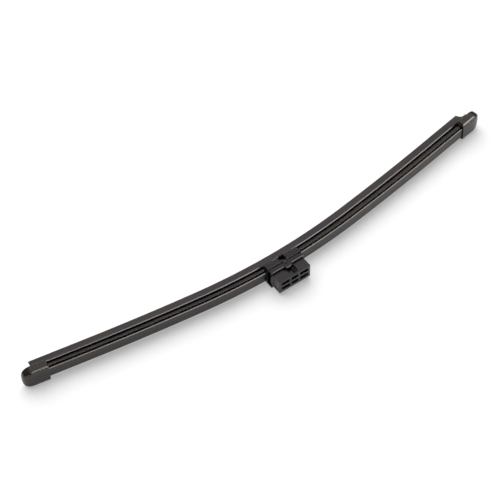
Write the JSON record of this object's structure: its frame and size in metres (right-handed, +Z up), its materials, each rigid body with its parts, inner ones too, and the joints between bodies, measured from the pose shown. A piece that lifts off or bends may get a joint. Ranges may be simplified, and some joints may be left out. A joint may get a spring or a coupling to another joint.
{
  "type": "wiper blade",
  "caption": "Flat bowed rear wiper blade with a rubber strip, spoiler, end caps and a clip-on arm adaptor that rocks on its pin, lying on its side.",
  "frame": {"origin": "on the floor, under the middle of the blade's outline seen from above", "axes": "+X along the blade to its right end, +Y from the adaptor towards the wiping lip, +Z up from the side that the blade lies on"},
  "size_m": [0.3422, 0.0444, 0.014],
  "materials": {
    "rubber": "satin",
    "spring_steel": "satin",
    "spoiler_plastic": "satin",
    "moulded_plastic": "satin",
    "pin_steel": "brushed",
    "adaptor_plastic": "matte"
  },
  "bodies": {
    "blade": {"wiper_rubber": "rubber", "spring_rail_upper": "spring_steel", "spring_rail_lower": "spring_steel", "spoiler_left": "spoiler_plastic", "spoiler_right": "spoiler_plastic", "end_cap_left": "moulded_plastic", "end_cap_right": "moulded_plastic", "connector_base": "moulded_plastic", "pivot_pin": "pin_steel"},
    "adaptor": {"pivot_adaptor": "adaptor_plastic"}
  },
  "joints": [
    {"name": "adaptor_rock", "type": "hinge", "parent": "blade", "child": "adaptor", "pos_m": [0, -0.01276, 0.007], "axis": [0, 0, 1], "range_deg": [-10, 10]}
  ]
}
